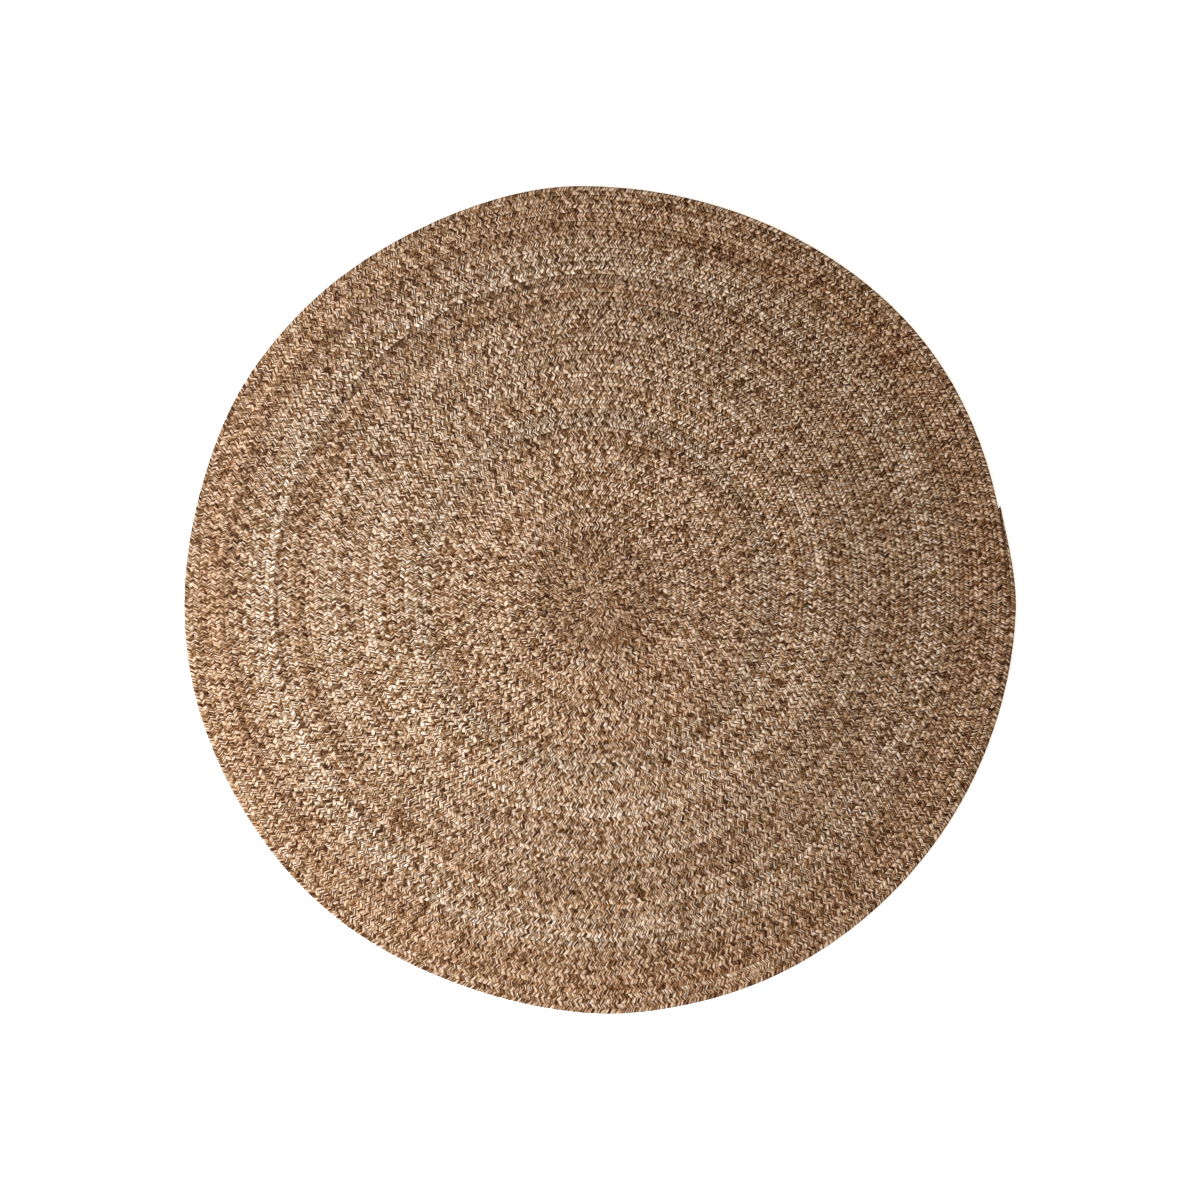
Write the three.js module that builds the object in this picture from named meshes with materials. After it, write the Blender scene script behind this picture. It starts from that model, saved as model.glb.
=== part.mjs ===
// A round braided rug: one long flat braid, coiled outward from the middle and joined edge to edge.
// Millimetres, +Z up. The rug lies flat on the plane z = 0 with its middle over the origin.

import * as THREE from 'three';

// The coil
const braidWidth = 19.7;
const turnCount = 46.1;
const tailAngle = 9;
const tailTaper = 14;
const tailWidth = 3;
const tailNose = 2;

// The middle of the inner turns and of the outer turns, from the middle of the outline
const innerMiddle = new THREE.Vector2(-7.6, 17.4);
const outerMiddle = new THREE.Vector2(0.3, 6.4);
const middleFade = 4;

// Where the outer turns stand out of an even coil, or in where out is negative.
// Angles and spreads in degrees, counter-clockwise from +X.
const rimBulges = [
  { angle: 36, out: 10, spread: 13 },
  { angle: 76, out: -5, spread: 14 },
  { angle: 96, out: 3.5, spread: 5 },
  { angle: 118, out: -6, spread: 9 },
  { angle: 150, out: 3, spread: 6 },
  { angle: 164, out: -2.5, spread: 7 },
  { angle: 191, out: 4, spread: 9 },
  { angle: 224, out: 1, spread: 6 },
  { angle: 250, out: -7.5, spread: 10 },
  { angle: 272, out: 3, spread: 5 },
  { angle: 292, out: 3.5, spread: 12 },
  { angle: 340, out: -1.5, spread: 12 },
];
const bulgeFade = 5;

// The braid's height: its back, the seam to the next turn, and the round of the outer edge
const braidHeight = 11;
const seamHeight = 7;
const edgeHeight = 4;
const soleInset = 3;

// Steps of the facets: at the rim, in each turn, and at the tight middle
const rimSteps = 68;
const middleSteps = 12;

const fullTurn = 2 * Math.PI;
const rimRadius = braidWidth * turnCount;
const endTurn = turnCount;
const startTurn = 0.25;
const tiny = 1e-9;

// The direction in which a place on the coil lies, by the turns wound up to it
function direction(turn) {
  return THREE.MathUtils.degToRad(tailAngle) + (turn - endTurn) * fullTurn;
}

// How far the rim stands out at an angle, in millimetres
function bulge(angle) {
  let out = 0;
  for (const row of rimBulges) {
    const away = angle - THREE.MathUtils.degToRad(row.angle);
    const turned = Math.atan2(Math.sin(away), Math.cos(away));
    out += row.out * Math.exp(-((turned / THREE.MathUtils.degToRad(row.spread)) ** 2) / 2);
  }
  return out;
}

// The narrowing of the braid towards its tucked end, from 1 to the tail's width
function taper(turn) {
  const left = THREE.MathUtils.clamp(((endTurn - turn) * 360) / tailTaper, 0, 1);
  const least = tailWidth / braidWidth;
  return least + (1 - least) * THREE.MathUtils.smoothstep(left, 0, 1);
}

// A point of the coil: the turns wound up to it, and how far across the braid it lies,
// from 0 at the seam to the turn within, to 1 at the outer seam
function coilPoint(turn, across) {
  const innerSeam = braidWidth * Math.max(turn - 1, 0);
  const fullWidth = braidWidth * Math.min(turn, 1);
  const radius = innerSeam + fullWidth * across * taper(turn);
  const angle = direction(turn);
  const share = radius / rimRadius;
  const middle = innerMiddle.clone().lerp(outerMiddle, share ** middleFade);
  const reach = radius + bulge(angle) * share ** bulgeFade;
  return new THREE.Vector2(middle.x + reach * Math.cos(angle), middle.y + reach * Math.sin(angle));
}

// The turns at which the coil is stepped: finer turns outward, as the arcs grow longer.
// One step lies a whole turn before the end, where the rim begins.
function coilSteps() {
  const steps = [startTurn];
  const rimStart = endTurn - 1;
  let turn = startTurn;
  while (turn < endTurn) {
    const count = Math.max(middleSteps, rimSteps * Math.sqrt(turn / turnCount));
    const next = Math.min(turn + 1 / count, endTurn);
    const passesRimStart = turn < rimStart && next >= rimStart;
    turn = passesRimStart ? rimStart : next;
    steps.push(turn);
  }
  return steps;
}

// Joins two lines of points with a strip of triangles. Each point is { index, turn },
// and the strip goes on along the line whose next point comes first.
function stitch(faces, inner, outer) {
  let i = 0;
  let j = 0;
  while (i < inner.length - 1 || j < outer.length - 1) {
    const innerNext = i < inner.length - 1 ? inner[i + 1].turn : Infinity;
    const outerNext = j < outer.length - 1 ? outer[j + 1].turn : Infinity;
    if (innerNext <= outerNext) {
      faces.push(inner[i].index, outer[j].index, inner[i + 1].index);
      i += 1;
    } else {
      faces.push(inner[i].index, outer[j].index, outer[j + 1].index);
      j += 1;
    }
  }
}

// The rug as one closed solid: ribbed on top by the coil, round at the rim, flat underneath
function coiledRug() {
  const points = [];
  const faces = [];
  const addPoint = (place, height) => points.push(place.x, place.y, height) / 3 - 1;

  const steps = coilSteps();
  const middle = { index: addPoint(innerMiddle, seamHeight), turn: 0 };
  const seam = steps.map((turn) => ({ index: addPoint(coilPoint(turn, 1), seamHeight), turn }));
  const nose = tailNose / (fullTurn * rimRadius);
  const back = steps.map((turn) => {
    const place = coilPoint(turn < endTurn ? turn : turn + nose, 0.5);
    return { index: addPoint(place, braidHeight), turn };
  });

  // From the braid's back out to its outer seam
  stitch(faces, back, seam);

  // From the outer seam of one turn, or the middle, out to the back of the next
  const within = [middle, back[0], ...seam].map(({ index, turn }) => ({ index, turn: turn + 1 }));
  within[0].turn = 0;
  within[1].turn = 1 + startTurn / 2;
  const reached = within.filter(({ turn }) => turn <= endTurn + tiny);
  stitch(faces, reached, back);

  // The rim: the last turn's outer seam, and across the tucked end
  const rimStart = endTurn - 1;
  const rim = seam.filter(({ turn }) => turn >= rimStart - tiny);
  const loop = [...rim, back[back.length - 1]].map(({ index }) => index);

  const placeOf = (index) => new THREE.Vector2(points[3 * index], points[3 * index + 1]);
  const inset = (index) => {
    const place = placeOf(index);
    return place.setLength(place.length() - soleInset);
  };
  const edge = loop.map((index) => addPoint(placeOf(index), edgeHeight));
  const sole = loop.map((index) => addPoint(inset(index), 0));
  for (const [upper, lower] of [[loop, edge], [edge, sole]]) {
    for (let k = 0; k < loop.length; k += 1) {
      const next = (k + 1) % loop.length;
      faces.push(upper[k], lower[k], upper[next]);
      faces.push(upper[next], lower[k], lower[next]);
    }
  }

  // The flat underside
  for (const [a, b, c] of THREE.ShapeUtils.triangulateShape(sole.map(placeOf), [])) {
    faces.push(sole[c], sole[b], sole[a]);
  }

  const geometry = new THREE.BufferGeometry();
  geometry.setAttribute('position', new THREE.Float32BufferAttribute(points, 3));
  geometry.setIndex(faces);
  return geometry;
}

// Sets the outline's middle over the origin
function centred(geometry) {
  geometry.computeBoundingBox();
  const middle = geometry.boundingBox.getCenter(new THREE.Vector3());
  geometry.translate(-middle.x, -middle.y, 0);
  geometry.computeVertexNormals();
  return geometry;
}

const braidMaterial = new THREE.MeshStandardMaterial({ color: 0x9b7d63, roughness: 0.7, metalness: 0 });

const rug = new THREE.Mesh(centred(coiledRug()), braidMaterial);
rug.name = 'rug';

const group = new THREE.Group();
group.add(rug);

export default group;
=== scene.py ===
import math
import bpy
import numpy as np
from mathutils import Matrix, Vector


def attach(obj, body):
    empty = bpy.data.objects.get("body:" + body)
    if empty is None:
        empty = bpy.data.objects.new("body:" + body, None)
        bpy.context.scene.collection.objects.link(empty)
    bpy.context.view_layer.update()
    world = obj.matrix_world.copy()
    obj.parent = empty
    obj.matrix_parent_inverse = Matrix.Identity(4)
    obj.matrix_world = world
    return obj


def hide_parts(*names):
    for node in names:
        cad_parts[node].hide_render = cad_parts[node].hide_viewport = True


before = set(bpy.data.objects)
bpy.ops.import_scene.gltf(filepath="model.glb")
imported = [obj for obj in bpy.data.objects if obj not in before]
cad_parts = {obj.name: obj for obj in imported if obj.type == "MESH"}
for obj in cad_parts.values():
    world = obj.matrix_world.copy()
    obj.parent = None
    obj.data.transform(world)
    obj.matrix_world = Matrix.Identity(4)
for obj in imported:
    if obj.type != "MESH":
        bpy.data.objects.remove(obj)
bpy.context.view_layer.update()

# All lengths in metres. The rug lies on the floor at z = 0, its middle over the origin.

weldDistance = 1e-6

coil = {
    "braidWidth": 0.0197,
    "turns": 46.1,
    "startTurn": 0.45,           # the braid's thin start, curled round its tucked end
    "tailAngle": 12.5,           # degrees, where the tucked end lies
    "tailTaper": 15,             # degrees over which it narrows
    "tailWidth": 0.0058,
    "innerMiddle": (-0.0076, 0.0174),   # middle of the inner turns, from that of the outline
    "outerMiddle": (0.0003, 0.0064),
    "middleFade": 4,             # powers of the radius: how late the middle moves over
    "bulgeFade": 5,              # and how late the rim's bulges set in
    "lineSamples": 60000,        # places at which the coil's line is worked out
    "rimSamples": 2000,
    "leastSteps": 40,            # points of the coil's line in a turn, at the middle
    "strandSteps": 360,          # and at the rim, for the strands
    "groundSteps": 60,           # and for the ground
}

# Where the outer turns stand out of an even coil, or in where out is negative.
# Angles and spreads in degrees, counter-clockwise from +X.
rimBulges = [
    {"angle": 36, "out": 0.0100, "spread": 13},
    {"angle": 76, "out": -0.0050, "spread": 14},
    {"angle": 96, "out": 0.0035, "spread": 5},
    {"angle": 118, "out": -0.0060, "spread": 9},
    {"angle": 150, "out": 0.0030, "spread": 6},
    {"angle": 164, "out": -0.0025, "spread": 7},
    {"angle": 191, "out": 0.0040, "spread": 9},
    {"angle": 224, "out": 0.0010, "spread": 6},
    {"angle": 250, "out": -0.0075, "spread": 10},
    {"angle": 272, "out": 0.0030, "spread": 5},
    {"angle": 292, "out": 0.0035, "spread": 12},
    {"angle": 340, "out": -0.0015, "spread": 12},
]

braid = {
    "period": 0.0357,            # a strand's way over to the other edge and back
    "halfWidth": 0.0070,         # the strand's flattened section, measured along the braid
    "flatHalfWidth": 0.0042,     # and the flat of its face
    "halfHeight": 0.0026,
    "uneven": 0.0011,            # hand-braided unevenness of a strand's place
    "unevenScale": 0.013,
    "pull": 0.022,               # and of how tightly the braid was pulled along its way
    "pullScale": 0.30,
    "middleHeight": 0.0052,      # of the braid's own middle over the floor
    "joinDistance": 1e-5,        # joins one period to the next
}

# A strand's way through half a period: up at one edge of the braid, over its crest, down to
# the middle and under to the other edge. roll turns the section's face, up at 0 and sideways
# at 90 degrees, dip tilts it under the next strand, and shut draws in the face inside the turn.
halfWeave = [
    {"x": 0.0035, "y": 0.0085, "z": 0.0029, "roll": 30, "dip": 0, "shut": -1},
    {"x": 0.0058, "y": 0.0052, "z": 0.0031, "roll": 0, "dip": 4, "shut": 0},
    {"x": 0.0083, "y": 0.0006, "z": -0.0004, "roll": 0, "dip": 10, "shut": 0},
    {"x": 0.0138, "y": -0.0080, "z": -0.0027, "roll": 45, "dip": 0, "shut": 1},
]

# A third of a period lies between one strand and the next. Each one's mesh begins at the ring
# that lies nearest to the braid's start.
strandStarts = [
    {"letter": "a", "firstRing": 0, "shift": 0},
    {"letter": "b", "firstRing": 5, "shift": 1 / 3 - 1},
    {"letter": "c", "firstRing": 3, "shift": 2 / 3 - 1},
]

ground = {
    "halfWidth": 0.0099,
    "halfHeight": 0.0012,
    "edgeHeight": 0.0006,
    "shoulder": 0.6,             # where its flat back ends, of the half width
}


def deselectAll():
    bpy.ops.object.select_all(action="DESELECT")


def makeActive(piece):
    deselectAll()
    piece.select_set(True)
    bpy.context.view_layer.objects.active = piece


def editAll():
    bpy.ops.object.mode_set(mode="EDIT")
    bpy.ops.mesh.select_all(action="SELECT")


def editDone():
    bpy.ops.object.mode_set(mode="OBJECT")


def readUvs(piece):
    uv = np.empty(len(piece.data.loops) * 2, dtype=np.float32)
    piece.data.uv_layers.active.data.foreach_get("uv", uv)
    return uv.reshape(-1, 2)


def writeUvs(piece, uv):
    piece.data.uv_layers.active.data.foreach_set("uv", uv.ravel())


# The coil's line

def bulgeAt(angle):
    out = np.zeros_like(angle)
    for row in rimBulges:
        away = angle - math.radians(row["angle"])
        turned = np.arctan2(np.sin(away), np.cos(away))
        out += row["out"] * np.exp(-((turned / math.radians(row["spread"])) ** 2) / 2)
    return out


def taperAt(turn):
    left = np.clip((coil["turns"] - turn) * 360 / coil["tailTaper"], 0, 1)
    least = coil["tailWidth"] / coil["braidWidth"]
    return least + (1 - least) * left * left * (3 - 2 * left)


def coilPlace(turn, across):
    # across is 0 at the seam to the turn within and 1 at the outer seam
    width = coil["braidWidth"]
    radius = width * np.maximum(turn - 1, 0) + width * np.minimum(turn, 1) * across * taperAt(turn)
    angle = math.radians(coil["tailAngle"]) + (turn - coil["turns"]) * 2 * math.pi
    share = radius / (width * coil["turns"])
    fade = share ** coil["middleFade"]
    reach = radius + bulgeAt(angle) * share ** coil["bulgeFade"]
    x = coil["innerMiddle"][0] + (coil["outerMiddle"][0] - coil["innerMiddle"][0]) * fade
    y = coil["innerMiddle"][1] + (coil["outerMiddle"][1] - coil["innerMiddle"][1]) * fade
    return np.stack([x + reach * np.cos(angle), y + reach * np.sin(angle)], axis=-1)


def outlineMiddle():
    rim = coilPlace(np.linspace(coil["turns"] - 1, coil["turns"], coil["rimSamples"]), 1.0)
    return (rim.min(axis=0) + rim.max(axis=0)) / 2


turnLine = np.linspace(coil["startTurn"], coil["turns"], coil["lineSamples"])
inSeam = coilPlace(turnLine, 0.0) - outlineMiddle()
outSeam = coilPlace(turnLine, 1.0) - outlineMiddle()
midLine = (inSeam + outSeam) / 2
widthLine = np.linalg.norm(outSeam - inSeam, axis=1)
wayLine = np.concatenate([[0], np.cumsum(np.linalg.norm(np.diff(midLine, axis=0), axis=1))])
braidLength = wayLine[-1]
periodCount = round(braidLength / braid["period"])
innerCount = periodCount // 2
splitTurn = float(np.interp(braidLength * innerCount / periodCount, wayLine, turnLine))
print("braid is %.1f m long, %d periods" % (braidLength, periodCount))


def coilCurve(name, fromTurn, toTurn, rimSteps):
    # a flat line of points along the coil, its radius the share of the braid's full width there
    turns = [fromTurn]
    while turns[-1] < toTurn:
        steps = max(coil["leastSteps"], rimSteps * math.sqrt(turns[-1] / coil["turns"]))
        turns.append(min(turns[-1] + 1 / steps, toTurn))
    x = np.interp(turns, turnLine, midLine[:, 0])
    y = np.interp(turns, turnLine, midLine[:, 1])
    data = bpy.data.curves.new(name, "CURVE")
    data.dimensions = "2D"
    data.fill_mode = "NONE"
    line = data.splines.new("POLY")
    line.points.add(len(turns) - 1)
    points = np.stack([x, y, np.zeros_like(x), np.ones_like(x)], axis=-1)
    line.points.foreach_set("co", points.ravel())
    line.points.foreach_set("radius", np.interp(turns, turnLine, widthLine) / coil["braidWidth"])
    curve = bpy.data.objects.new(name, data)
    bpy.context.collection.objects.link(curve)
    return curve, float(np.hypot(np.diff(x), np.diff(y)).sum())


# One strand of the braid: a single period modelled straight, then repeated and coiled

def weaveRings():
    # the second half of the period is the first one, mirrored
    rings = []
    for side in (1, -1):
        start = 0 if side == 1 else braid["period"] / 2
        for row in halfWeave:
            roll, dip = math.radians(row["roll"]), math.radians(row["dip"])
            rings.append({
                "middle": Vector((row["x"] + start, side * row["y"], row["z"])),
                "across": Vector((math.cos(dip), 0, -math.sin(dip))),
                "face": Vector((0, math.sin(roll), side * math.cos(roll))),
                "shut": side * row["shut"]})
    return rings


weave = weaveRings()
weaveSteps = [(b["middle"] - a["middle"]).length for a, b in zip(weave, weave[1:])]
weaveSteps.append((weave[0]["middle"] + Vector((braid["period"], 0, 0)) - weave[-1]["middle"]).length)
strandLength = sum(weaveSteps)      # of one period, measured along the strand
wide, flat, high = braid["halfWidth"], braid["flatHalfWidth"], braid["halfHeight"]
section = [(wide, 0), (flat, high), (-flat, high), (-wide, 0), (-flat, -high), (flat, -high)]
sectionRound = [0, 0.12, 0.38, 0.5, 0.62, 0.88]     # way round the section to each corner


def reached(ring):
    # periods along the strand up to a ring
    return ring // len(weave) + sum(weaveSteps[:ring % len(weave)]) / strandLength


def makePeriod(name, firstRing):
    deselectAll()
    bpy.ops.mesh.primitive_cylinder_add(
        vertices=len(section), radius=1, depth=len(weave), end_fill_type="NOTHING",
        location=(len(weave) / 2, 0, 0), rotation=(0, math.pi / 2, 0))
    piece = bpy.context.object
    piece.name = name
    bpy.ops.object.transform_apply(location=True, rotation=True, scale=True)
    bpy.ops.object.mode_set(mode="EDIT")
    bpy.ops.mesh.select_mode(type="EDGE")
    bpy.ops.mesh.select_all(action="DESELECT")
    editDone()
    for edge in piece.data.edges:
        a, b = (piece.data.vertices[i].co.x for i in edge.vertices)
        edge.select = abs(a - b) > 1            # the long ones, from end to end
    bpy.ops.object.mode_set(mode="EDIT")
    bpy.ops.mesh.subdivide(number_cuts=len(weave) - 1)
    editDone()

    mesh = piece.data
    corners = {}
    for vertex in mesh.vertices:
        ring = firstRing + round(vertex.co.x)
        corner = round(math.atan2(vertex.co.z, vertex.co.y) / (2 * math.pi) * len(section)) % len(section)
        corners[vertex.index] = (ring, corner)
    layUvs(mesh, corners)
    for vertex in mesh.vertices:
        ring, corner = corners[vertex.index]
        row = weave[ring % len(weave)]
        across, through = section[corner]
        if through * row["shut"] > 0:
            across = 0                          # the face inside the turn
        vertex.co = row["middle"] + row["across"] * across + row["face"] * through
        vertex.co.x += braid["period"] * (ring // len(weave))
    editAll()
    bpy.ops.mesh.remove_doubles(threshold=weldDistance)
    bpy.ops.mesh.normals_make_consistent(inside=False)
    editDone()
    return piece


def layUvs(mesh, corners):
    # u counts periods along the strand, v goes round it
    uv = mesh.uv_layers.active.data
    for face in mesh.polygons:
        places = [corners[i] for i in face.vertices]
        past = max(corner for ring, corner in places) == len(section) - 1
        for loop, (ring, corner) in zip(face.loop_indices, places):
            v = 1 if past and corner == 0 else sectionRound[corner]
            uv[loop].uv = (reached(ring), v)


def makeUneven(piece, axis, strength, scale):
    texture = bpy.data.textures.new("uneven" + axis, "CLOUDS")
    texture.noise_scale = scale
    push = piece.modifiers.new("uneven" + axis, "DISPLACE")
    push.texture = texture
    push.direction = axis
    push.strength = strength
    push.texture_coords = "LOCAL"
    bpy.ops.object.modifier_apply(modifier=push.name)


def alongCoil(piece, curve, curveLength, half, shift, wayBefore):
    makeActive(piece)
    row = piece.modifiers.new("row", "ARRAY")
    row.fit_type = "FIXED_COUNT"
    row.count = half["repeats"]
    row.use_relative_offset = False
    row.use_constant_offset = True
    row.constant_offset_displace = (braid["period"], 0, 0)
    row.use_merge_vertices = True
    row.merge_threshold = braid["joinDistance"]
    row.offset_u = 1
    bpy.ops.object.modifier_apply(modifier=row.name)
    stretch = curveLength / (half["repeats"] * braid["period"])
    editAll()
    bpy.ops.mesh.fill_holes(sides=0)            # closes the two ends
    bpy.ops.transform.translate(value=(shift * braid["period"], 0, 0))
    editDone()
    piece.scale = (stretch, 1, 1)
    piece.location.x = wayBefore                # so the unevenness goes on from half to half
    bpy.ops.object.transform_apply(location=True, rotation=False, scale=True)
    makeUneven(piece, "X", braid["pull"], braid["pullScale"])
    makeUneven(piece, "Y", braid["uneven"], braid["unevenScale"])
    makeUneven(piece, "Z", braid["uneven"], braid["unevenScale"])
    piece.location.x = -wayBefore
    bpy.ops.object.transform_apply(location=True, rotation=False, scale=False)
    bend = piece.modifiers.new("bend", "CURVE")
    bend.object = curve
    bend.deform_axis = "POS_X"
    bpy.ops.object.modifier_apply(modifier=bend.name)
    editAll()
    bpy.ops.transform.translate(value=(0, 0, braid["middleHeight"]))
    editDone()
    uv = readUvs(piece)
    uv[:, 0] += half["firstPeriod"]
    writeUvs(piece, uv)
    bpy.ops.object.shade_smooth()


# Each strand is two pieces, one on the inner and one on the outer half of the braid
halves = [
    {"name": "inner", "fromTurn": coil["startTurn"], "toTurn": splitTurn,
     "repeats": innerCount, "firstPeriod": 0},
    {"name": "outer", "fromTurn": splitTurn, "toTurn": coil["turns"],
     "repeats": periodCount - innerCount, "firstPeriod": innerCount},
]


def makeStrands():
    made = []
    wayBefore = 0
    for half in halves:
        name = "coil_" + half["name"]
        curve, length = coilCurve(name, half["fromTurn"], half["toTurn"], coil["strandSteps"])
        for strand in strandStarts:
            piece = makePeriod("strand_%s_%s" % (strand["letter"], half["name"]), strand["firstRing"])
            alongCoil(piece, curve, length, half, strand["shift"], wayBefore)
            made.append(piece)
        bpy.data.objects.remove(curve)
        wayBefore += length
    return made


strands = makeStrands()
print("strands woven and coiled:", len(strands))


# The braid's tucked end, a bundle of yarn that the coil starts round

tuck = {
    "place": (-0.0026, -0.0006),        # from the middle of the inner turns
    "size": (0.0100, 0.0086, 0.0052),   # from its middle to its sides
    "middleHeight": 0.0056,
    "turned": 35,                       # degrees
    "segments": 26,
    "rings": 14,
}


def makeTuck():
    deselectAll()
    bpy.ops.mesh.primitive_uv_sphere_add(
        segments=tuck["segments"], ring_count=tuck["rings"], radius=1, rotation=(0, math.pi / 2, 0))
    piece = bpy.context.object
    piece.name = "coil_tuck"
    bpy.ops.object.transform_apply(location=False, rotation=True, scale=False)
    x, y = np.array(coil["innerMiddle"]) + tuck["place"] - outlineMiddle()
    piece.location = (x, y, tuck["middleHeight"])
    piece.rotation_euler.z = math.radians(tuck["turned"])
    piece.scale = tuck["size"]
    bpy.ops.object.transform_apply(location=True, rotation=True, scale=True)
    writeUvs(piece, readUvs(piece)[:, ::-1])    # its plies run from end to end
    bpy.ops.object.shade_smooth()
    return piece


tuckPiece = makeTuck()


# The inside of the coil, a dark sheet of painted shade, seen only in the hollows between the strands

def makeGround():
    sectionCurve = bpy.data.curves.new("ground_section", "CURVE")
    sectionCurve.dimensions = "2D"
    line = sectionCurve.splines.new("POLY")
    wide, high, edge = ground["halfWidth"], ground["halfHeight"], ground["edgeHeight"]
    shoulder = wide * ground["shoulder"]
    corners = [(wide, edge), (shoulder, high), (-shoulder, high), (-wide, edge),
               (-wide, -edge), (-shoulder, -high), (shoulder, -high), (wide, -edge)]
    line.points.add(len(corners) - 1)
    for linePoint, (x, y) in zip(line.points, corners):
        linePoint.co = (x, y, 0, 1)
    line.use_cyclic_u = True
    sectionObject = bpy.data.objects.new("ground_section", sectionCurve)
    bpy.context.collection.objects.link(sectionObject)
    piece, length = coilCurve("coil_ground", coil["startTurn"], coil["turns"], coil["groundSteps"])
    piece.data.bevel_mode = "OBJECT"
    piece.data.bevel_object = sectionObject
    piece.data.use_fill_caps = True
    makeActive(piece)
    bpy.ops.object.convert(target="MESH")
    editAll()
    bpy.ops.mesh.remove_doubles(threshold=weldDistance)
    bpy.ops.mesh.normals_make_consistent(inside=False)
    bpy.ops.transform.translate(value=(0, 0, braid["middleHeight"]))
    editDone()
    bpy.data.objects.remove(sectionObject)
    return piece


groundPiece = makeGround()
print("ground laid:", len(groundPiece.data.polygons), "faces")


# Yarn

yarn = {
    "plies": 13,                 # yarns round a strand
    "plyContrast": 0.45,         # how far one yarn is lighter or darker than the next
    "plySeedStep": 6.37,         # sets the yarns apart in the noise
    "waver": 40.0,               # how often the yarns wander round the strand, in a metre
    "lightness": 0.548,          # of the mean yarn, on the ramp of yarnColours
    "fleckLength": 0.018,        # metres of a fleck on a yarn
    "fleckGain": 4.3,
    "dyeLength": 0.25,           # metres of a yarn of one colour
    "dyeGain": 1.9,
    "patchLength": 1.6,          # metres of a whole strand of one colour
    "patchGain": 0.2,
    "rust": (1.22, 0.90, 0.70, 1.0),
    "rustRange": (0.52, 0.68),   # of the hue noise
    "grey": (0.90, 1.00, 1.16, 1.0),
    "greyRange": (0.32, 0.48),
    "hueShare": 0.16,            # how strongly a strand turns to rust or grey
    "valleyShade": (0.40, 0.25, 0.13, 1.0),     # painted shade: between the yarns
    "valleyRange": (0.0, 0.75),
    "sideShade": (0.45, 0.26, 0.12, 1.0),       # and on the sides of a strand, deep in the braid
    "sideRange": (0.15, 0.75),
    "diveShade": (0.80, 0.71, 0.60, 1.0),       # and where a strand dives under the next one,
    "dive": (0.24, 0.40),                       # from here to here in its half period,
    "rise": (0.60, 0.75),                       # until it comes up again
    "fibresAcross": 9.0,         # in a yarn
    "fibresAlong": 350.0,        # in a metre
    "plyRelief": 0.0007,
    "fibreRelief": 0.00015,
    "roughness": (0.42, 0.58),
    "roughRange": (0.3, 0.7),    # of the fleck noise
    "specular": 0.22,
    "sheen": 0.05,
    "sheenRoughness": 0.4,
}

# The dye of the whole braid, in lots along its way
dye = {
    "lotLength": 4.5,            # metres of one lot of yarn
    "lotTone": 1.45,
    "fade": (0.81, 1.0, 1.26),   # how a tone acts on red, green and blue
    "warm": (1.025, 0.995, 0.965, 1.0),
    "warmRange": (0.50, 0.65),
    "cool": (0.98, 1.00, 1.03, 1.0),
    "coolRange": (0.35, 0.50),
    "bandWarmth": 0.035,         # what a warmth of 1 in dyeBands adds to red and takes off blue
    "greenShare": 0.1,           # the share of that which it takes off green
    "headroom": 1.5,             # divides the bands' colours, which a ramp cuts off at 1
}

# Where the noises are cut, so that those of one length aren't alike
slices = {"fleck": 0.5, "dye": 7.5, "patch": 13.5, "hue": 21.5, "lotTone": 3.5, "lotHue": 9.5, "lots": 0.5}

# From the darkest yarn to the lightest
yarnColours = [
    (0.00, (0.045, 0.013, 0.001)),
    (0.25, (0.143, 0.061, 0.013)),
    (0.50, (0.300, 0.174, 0.078)),
    (0.75, (0.530, 0.390, 0.256)),
    (1.00, (0.830, 0.720, 0.600)),
]

# Stretches of the coil that are darker or paler, rustier or greyer than the rest, by turns
dyeBands = [
    {"turn": 0.0, "tone": 1.15, "warmth": -1.2},
    {"turn": 2.5, "tone": 0.87, "warmth": -0.1},
    {"turn": 6.5, "tone": 0.83, "warmth": 1.2},
    {"turn": 8.5, "tone": 1.04, "warmth": 0.7},
    {"turn": 11.0, "tone": 0.93, "warmth": 1.1},
    {"turn": 13.5, "tone": 1.25, "warmth": 0.3},
    {"turn": 17.0, "tone": 1.06, "warmth": 0.4},
    {"turn": 19.3, "tone": 1.34, "warmth": -1.0},
    {"turn": 22.5, "tone": 1.30, "warmth": -0.4},
    {"turn": 25.0, "tone": 1.10, "warmth": -0.5},
    {"turn": 27.5, "tone": 1.05, "warmth": 0.2},
    {"turn": 29.5, "tone": 1.22, "warmth": -0.8},
    {"turn": 33.3, "tone": 0.89, "warmth": 0.2},
    {"turn": 35.0, "tone": 1.22, "warmth": 0.0},
    {"turn": 36.8, "tone": 1.24, "warmth": -0.8},
    {"turn": 38.6, "tone": 1.12, "warmth": -0.9},
    {"turn": 41.0, "tone": 0.85, "warmth": 1.6},
    {"turn": 43.3, "tone": 1.08, "warmth": 1.3},
    {"turn": 45.3, "tone": 0.94, "warmth": 0.7},
]

strandDyes = {
    "a": {"seed": 3.1, "tint": (1.08, 1.01, 0.91)},
    "b": {"seed": 17.4, "tint": (0.99, 0.93, 0.845)},
    "c": {"seed": 41.9, "tint": (1.025, 0.98, 0.915)},
}


def feed(tree, socket, value):
    # a number, a colour or another node's output
    if isinstance(value, bpy.types.NodeSocket):
        tree.links.new(value, socket)
    else:
        socket.default_value = value


def maths(tree, operation, *values):
    node = tree.nodes.new("ShaderNodeMath")
    node.operation = operation
    for socket, value in zip(node.inputs, values):
        feed(tree, socket, value)
    return node.outputs[0]


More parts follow.
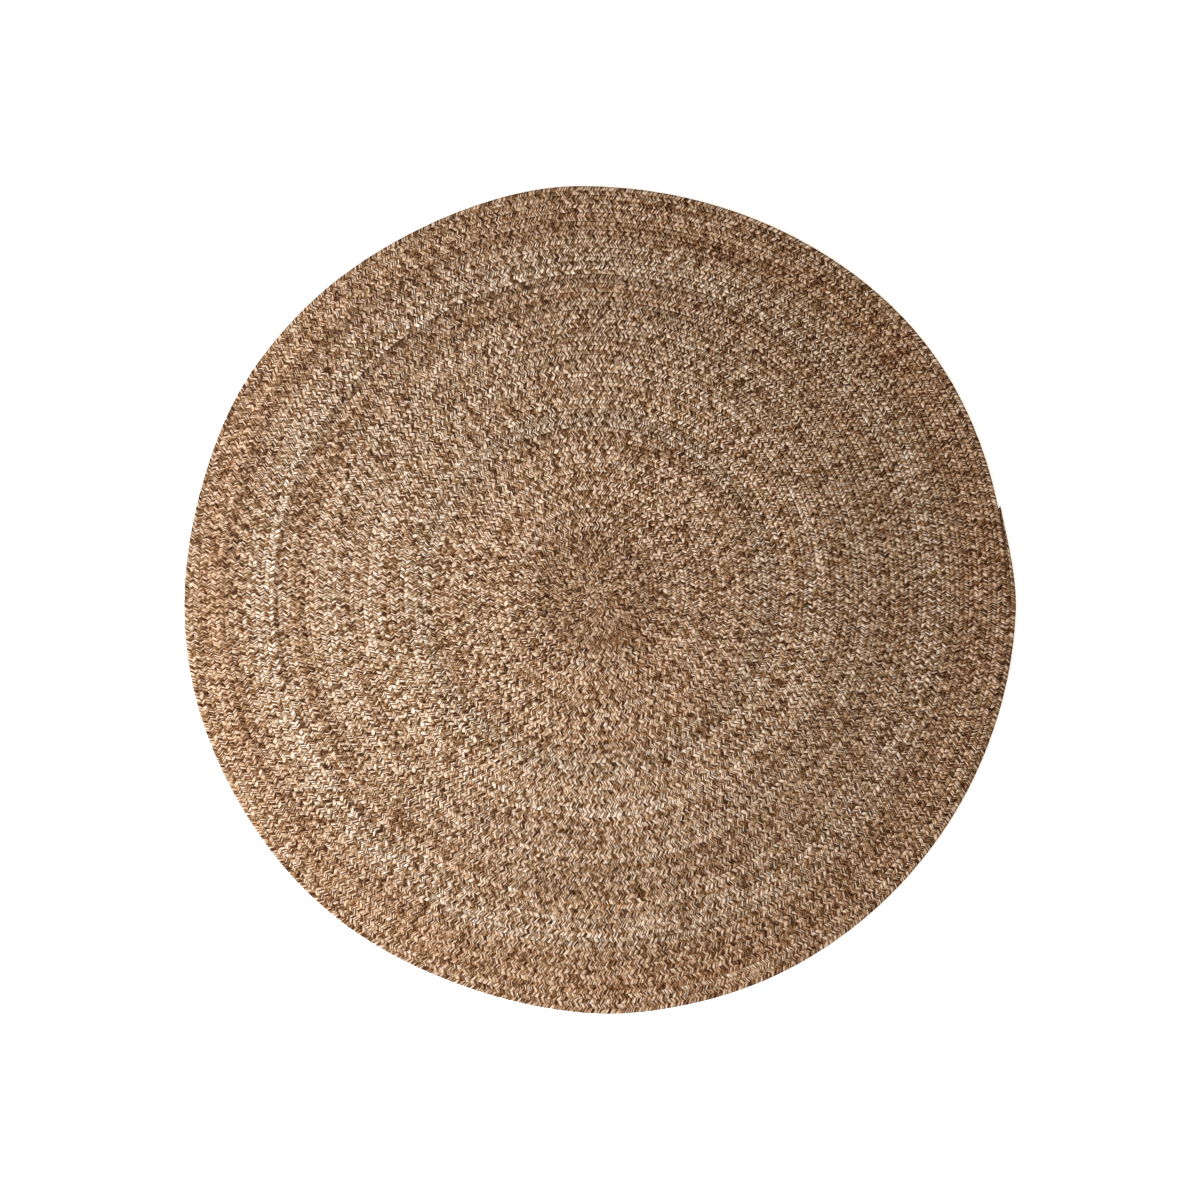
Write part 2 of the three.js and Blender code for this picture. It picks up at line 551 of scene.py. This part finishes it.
def remap(tree, value, low, high, toLow=0.0, toHigh=1.0, smooth=False):
    node = tree.nodes.new("ShaderNodeMapRange")
    if smooth:
        node.interpolation_type = "SMOOTHSTEP"
    feed(tree, node.inputs["Value"], value)
    node.inputs["From Min"].default_value = low
    node.inputs["From Max"].default_value = high
    node.inputs["To Min"].default_value = toLow
    node.inputs["To Max"].default_value = toHigh
    return node.outputs["Result"]


def point(tree, x, y, z):
    node = tree.nodes.new("ShaderNodeCombineXYZ")
    for socket, value in zip(node.inputs, (x, y, z)):
        feed(tree, socket, value)
    return node.outputs[0]


def noise(tree, vector, detail=1.0, scale=1.0):
    node = tree.nodes.new("ShaderNodeTexNoise")
    tree.links.new(vector, node.inputs["Vector"])
    node.inputs["Scale"].default_value = scale
    node.inputs["Detail"].default_value = detail
    return node.outputs["Fac"]


def multiply(tree, factor, first, second):
    # sockets by number, because those of a colour mix share their names with other kinds of mix
    node = tree.nodes.new("ShaderNodeMix")
    node.data_type = "RGBA"
    node.blend_type = "MULTIPLY"
    feed(tree, node.inputs[0], factor)
    feed(tree, node.inputs[6], first)
    feed(tree, node.inputs[7], second)
    return node.outputs[2]


def ramp(tree, value, stops):
    node = tree.nodes.new("ShaderNodeValToRGB")
    feed(tree, node.inputs["Fac"], value)
    elements = node.color_ramp.elements
    while len(elements) < len(stops):
        elements.new(0.5)
    for element, (position, colour) in zip(elements, stops):
        element.position = position
        element.color = (*colour, 1.0)
    return node.outputs["Color"]


def newGroup(name, inputs, outputs):
    tree = bpy.data.node_groups.new(name, "ShaderNodeTree")
    for label, value in inputs:
        socket = tree.interface.new_socket(label, in_out="INPUT", socket_type="NodeSocketFloat")
        socket.default_value = value
    for label, kind in outputs:
        tree.interface.new_socket(label, in_out="OUTPUT", socket_type="NodeSocket" + kind)
    return tree, tree.nodes.new("NodeGroupInput").outputs, tree.nodes.new("NodeGroupOutput").inputs


def useGroup(tree, group, **values):
    node = tree.nodes.new("ShaderNodeGroup")
    node.node_tree = group
    for label, value in values.items():
        feed(tree, node.inputs[label], value)
    return node.outputs


def newMaterial(name):
    material = bpy.data.materials.new(name)
    material.use_nodes = True
    return material, material.node_tree.nodes["Principled BSDF"]


def addBump(tree, shader, height, distance):
    bump = tree.nodes.new("ShaderNodeBump")
    bump.inputs["Distance"].default_value = distance
    tree.links.new(height, bump.inputs["Height"])
    tree.links.new(bump.outputs["Normal"], shader.inputs["Normal"])


# Heathered plastic yarn: a bundle of plies, each flecked and dyed on its own, with painted shade between
# the yarns, on a strand's sides and where it dives under the next strand.
# Along counts periods along the braid, Around is 0 to 1 round the strand.

def makeYarnGroup():
    inputs = [("Along", 0.0), ("Around", 0.0), ("Seed", 0.0)]
    outputs = [("Colour", "Color"), ("Height", "Float"), ("Fleck", "Float")]
    tree, given, out = newGroup("heatheredYarn", inputs, outputs)
    seed = given["Seed"]
    plies = float(yarn["plies"])
    way = maths(tree, "MULTIPLY", given["Along"], strandLength)
    waver = noise(tree, point(tree, maths(tree, "MULTIPLY", way, yarn["waver"]), 0.0, seed))
    plyPlace = maths(tree, "MULTIPLY_ADD", given["Around"], plies, waver)
    ply = maths(tree, "FLOORED_MODULO", maths(tree, "FLOOR", plyPlace), plies)
    plySeed = maths(tree, "MULTIPLY_ADD", ply, yarn["plySeedStep"], seed)
    inPly = maths(tree, "FRACT", plyPlace)
    ridge = maths(tree, "SINE", maths(tree, "MULTIPLY", inPly, math.pi))

    def wayNoise(length, noiseSeed, cut, detail=1.0):
        scaled = maths(tree, "DIVIDE", way, length)
        return noise(tree, point(tree, scaled, noiseSeed, cut), detail)

    def addSwing(light, value, gain):
        # a noise swings about a half
        swing = maths(tree, "SUBTRACT", value, 0.5)
        return maths(tree, "MULTIPLY_ADD", swing, gain, light)

    def shade(colour, mask, tint):
        return multiply(tree, mask, colour, tint)

    own = tree.nodes.new("ShaderNodeTexWhiteNoise")
    own.noise_dimensions = "2D"
    tree.links.new(point(tree, ply, seed, 0.0), own.inputs["Vector"])
    fleck = wayNoise(yarn["fleckLength"], plySeed, slices["fleck"], detail=2.0)
    plyDye = wayNoise(yarn["dyeLength"], plySeed, slices["dye"])
    patch = wayNoise(yarn["patchLength"], seed, slices["patch"], detail=2.0)
    light = addSwing(yarn["lightness"], own.outputs["Value"], yarn["plyContrast"])
    light = addSwing(light, fleck, yarn["fleckGain"])
    light = addSwing(light, plyDye, yarn["dyeGain"])
    light = addSwing(light, patch, yarn["patchGain"])
    colour = ramp(tree, light, yarnColours)

    hue = wayNoise(yarn["patchLength"], seed, slices["hue"])
    rust = remap(tree, hue, *yarn["rustRange"], 0.0, yarn["hueShare"], smooth=True)
    colour = shade(colour, rust, yarn["rust"])
    grey = remap(tree, hue, *yarn["greyRange"], yarn["hueShare"], 0.0, smooth=True)
    colour = shade(colour, grey, yarn["grey"])
    # painted shade: darker between the yarns, on a strand's sides and where it dives under the next strand
    valley = remap(tree, ridge, *yarn["valleyRange"], 1.0, 0.0, smooth=True)
    colour = shade(colour, valley, yarn["valleyShade"])
    facing = maths(tree, "SINE", maths(tree, "MULTIPLY", given["Around"], 2 * math.pi))
    side = remap(tree, maths(tree, "ABSOLUTE", facing), *yarn["sideRange"], 1.0, 0.0, smooth=True)
    colour = shade(colour, side, yarn["sideShade"])
    halfWay = maths(tree, "FRACT", maths(tree, "MULTIPLY", given["Along"], 2.0))
    dive = remap(tree, halfWay, *yarn["dive"], 0.0, 1.0, smooth=True)
    rise = remap(tree, halfWay, *yarn["rise"], 1.0, 0.0, smooth=True)
    colour = shade(colour, maths(tree, "MULTIPLY", dive, rise), yarn["diveShade"])

    fibreAcross = maths(tree, "MULTIPLY", plyPlace, yarn["fibresAcross"])
    fibreWay = maths(tree, "MULTIPLY", way, yarn["fibresAlong"])
    fibre = noise(tree, point(tree, fibreWay, fibreAcross, seed), detail=2.0)
    height = maths(tree, "MULTIPLY", ridge, yarn["plyRelief"])
    height = maths(tree, "MULTIPLY_ADD", fibre, yarn["fibreRelief"], height)
    tree.links.new(colour, out["Colour"])
    tree.links.new(height, out["Height"])
    tree.links.new(fleck, out["Fleck"])
    return tree


# The dye bands of the coil, from the middle out: the turns wound up go as the root of the way

def bandColour(band):
    red, green, blue = [band["tone"] ** power / dye["headroom"] for power in dye["fade"]]
    warmth = band["warmth"] * dye["bandWarmth"]
    return red * (1 + warmth), green * (1 - warmth * dye["greenShare"]), blue * (1 - warmth)


def makeBandGroup():
    tree, given, out = newGroup("dyeBands", [("Along", 0.0)], [("Tint", "Color")])
    share = maths(tree, "DIVIDE", given["Along"], float(periodCount))
    turns = maths(tree, "SQRT", maths(tree, "MAXIMUM", share, 0.0))
    tint = ramp(tree, turns, [(band["turn"] / coil["turns"], bandColour(band)) for band in dyeBands])

    lots = maths(tree, "MULTIPLY", given["Along"], braid["period"] / dye["lotLength"])
    tone = noise(tree, point(tree, lots, slices["lotTone"], slices["lots"]), detail=2.0)
    tone = maths(tree, "MULTIPLY_ADD", tone, dye["lotTone"], 1 - dye["lotTone"] / 2)
    tone = point(tree, *[maths(tree, "POWER", tone, power) for power in dye["fade"]])
    tint = multiply(tree, 1.0, tint, tone)
    hue = noise(tree, point(tree, lots, slices["lotHue"], slices["lots"]), detail=2.0)
    tint = multiply(tree, remap(tree, hue, *dye["warmRange"]), tint, dye["warm"])
    tint = multiply(tree, remap(tree, hue, *dye["coolRange"], 1.0, 0.0), tint, dye["cool"])
    tree.links.new(tint, out["Tint"])
    return tree


yarnGroup = makeYarnGroup()
bandGroup = makeBandGroup()


def makeYarnMaterial(name, seed, tint):
    material, shader = newMaterial(name)
    tree = material.node_tree
    uv = tree.nodes.new("ShaderNodeUVMap")
    uv.uv_map = "UVMap"
    split = tree.nodes.new("ShaderNodeSeparateXYZ")
    tree.links.new(uv.outputs["UV"], split.inputs[0])
    along, around = split.outputs["X"], split.outputs["Y"]
    look = useGroup(tree, yarnGroup, Along=along, Around=around, Seed=seed)
    bands = useGroup(tree, bandGroup, Along=along)
    strandTint = tuple(dye["headroom"] * part for part in tint) + (1.0,)    # undoes that division
    colour = multiply(tree, 1.0, look["Colour"], bands["Tint"])
    colour = multiply(tree, 1.0, colour, strandTint)
    tree.links.new(colour, shader.inputs["Base Color"])
    rough = remap(tree, look["Fleck"], *yarn["roughRange"], *yarn["roughness"])
    tree.links.new(rough, shader.inputs["Roughness"])
    shader.inputs["Specular IOR Level"].default_value = yarn["specular"]
    shader.inputs["Sheen Weight"].default_value = yarn["sheen"]
    shader.inputs["Sheen Roughness"].default_value = yarn["sheenRoughness"]
    addBump(tree, shader, look["Height"], 1.0)      # the heights are in metres
    return material


yarnMaterials = {}
for letter, strandDye in strandDyes.items():
    yarnMaterials[letter] = makeYarnMaterial("yarn_" + letter, strandDye["seed"], strandDye["tint"])
for piece in strands:
    letter = piece.name.split("_")[1]
    piece.data.materials.append(yarnMaterials[letter])
tuckPiece.data.materials.append(yarnMaterials["c"])


# The ground's colours: near-black painted shade for the hollows between the strands
shadedYarn = {
    "colours": [
        (0.3, (0.014, 0.006, 0.002)),
        (0.5, (0.034, 0.015, 0.006)),
        (0.7, (0.070, 0.034, 0.014)),
    ],
    "grain": 300.0,              # noise scale, in a metre
    "roughness": 0.8,
    "relief": 0.001,
}


def makeGroundMaterial():
    material, shader = newMaterial("yarn_shaded")
    tree = material.node_tree
    place = tree.nodes.new("ShaderNodeTexCoord").outputs["Object"]
    grain = noise(tree, place, detail=2.0, scale=shadedYarn["grain"])
    tree.links.new(ramp(tree, grain, shadedYarn["colours"]), shader.inputs["Base Color"])
    shader.inputs["Roughness"].default_value = shadedYarn["roughness"]
    addBump(tree, shader, grain, shadedYarn["relief"])
    return material


groundPiece.data.materials.append(makeGroundMaterial())
print("yarn dyed:", len(yarnMaterials), "strands")


# Each piece rides the root body, and the model's rug is hidden

for piece in strands + [tuckPiece, groundPiece]:
    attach(piece, "root")
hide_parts("rug")


# Studio

studio = {
    "lightPlace": (-1.45, -0.69, 2.06),
    "lightSize": 1.2,
    "lightPower": 95,
    "lightColour": (0.96, 1.00, 1.08),
    "fill": 0.30,                # strength of the even light from all around
    "fillColour": (1.23, 0.98, 0.71, 1.0),
    "floorSize": 12,
    "floorColour": (0.9, 0.9, 0.9, 1),
    "floorRoughness": 0.9,
    "floorGlow": 0.75,
    "cameraHeight": 6.0,
    "viewWidth": 2.61,           # metres of floor across the photograph
    "sensor": 36,                # millimetres
    "clipEnd": 50,
}


def makeFloor():
    deselectAll()
    bpy.ops.mesh.primitive_plane_add(size=studio["floorSize"], location=(0, 0, 0))
    floor = bpy.context.object
    floor.name = "floor"
    material, shader = newMaterial("floor_white")
    shader.inputs["Base Color"].default_value = studio["floorColour"]
    shader.inputs["Roughness"].default_value = studio["floorRoughness"]
    shader.inputs["Emission Color"].default_value = (1, 1, 1, 1)
    shader.inputs["Emission Strength"].default_value = studio["floorGlow"]
    floor.data.materials.append(material)


def makeLight():
    deselectAll()
    bpy.ops.object.light_add(type="AREA", location=studio["lightPlace"])
    light = bpy.context.object
    light.name = "soft_box"
    light.data.shape = "SQUARE"
    light.data.size = studio["lightSize"]
    light.data.energy = studio["lightPower"]
    light.data.color = studio["lightColour"]
    light.rotation_euler = (-light.location).to_track_quat("-Z", "Y").to_euler()
    world = bpy.data.worlds.new("studio")
    world.use_nodes = True
    sky = world.node_tree.nodes["Background"]
    sky.inputs["Color"].default_value = studio["fillColour"]
    sky.inputs["Strength"].default_value = studio["fill"]
    bpy.context.scene.world = world


def makeCamera():
    deselectAll()
    bpy.ops.object.camera_add(location=(0, 0, studio["cameraHeight"]), rotation=(0, 0, 0))
    camera = bpy.context.object
    camera.data.sensor_width = studio["sensor"]
    camera.data.lens = studio["sensor"] * studio["cameraHeight"] / studio["viewWidth"]
    camera.data.clip_end = studio["clipEnd"]
    bpy.context.scene.camera = camera


makeFloor()
makeLight()
makeCamera()
bpy.context.scene.view_settings.view_transform = "Standard"
print("studio set")
